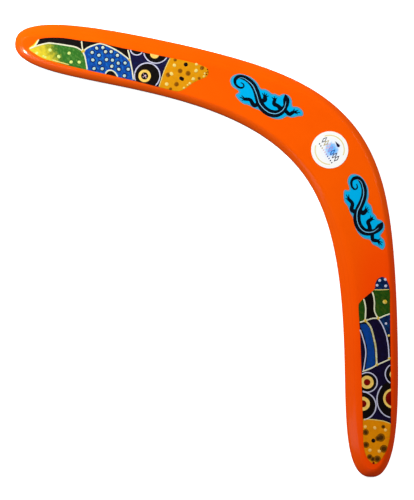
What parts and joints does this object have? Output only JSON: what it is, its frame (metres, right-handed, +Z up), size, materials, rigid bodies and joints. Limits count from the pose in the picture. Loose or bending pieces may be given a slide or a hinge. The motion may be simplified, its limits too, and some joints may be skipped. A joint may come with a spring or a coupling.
{
  "type": "boomerang",
  "caption": "Two-armed returning boomerang: flat underside, bevelled aerofoil top with opposite leading edges, round elbow, printed arm films, lizard stickers and a round label.",
  "frame": {"origin": "middle of the bounding box at the height of the flat underside, on the surface that the boomerang rests on", "axes": "+X from arm A's tip towards arm B's tip, +Y from the crook towards the elbow, +Z up through the shaped face"},
  "size_m": [0.4018, 0.1542, 0.0061],
  "materials": {
    "lacquered_ply": "orange gloss lacquer over plywood",
    "panel_film": "gloss printed film, hand-drawn dots and lines",
    "sticker_film": "gloss printed sticker film",
    "label_paper": "satin coated paper label"
  },
  "bodies": {
    "root": {"veneer_1_bottom": "lacquered_ply", "veneer_2_cross": "lacquered_ply", "veneer_3_core": "lacquered_ply", "veneer_4_cross": "lacquered_ply", "veneer_5_top": "lacquered_ply", "tip_panel_a": "panel_film", "tip_panel_b": "panel_film", "lizard_decal_a": "sticker_film", "lizard_decal_b": "sticker_film", "round_label": "label_paper"}
  },
  "joints": []
}
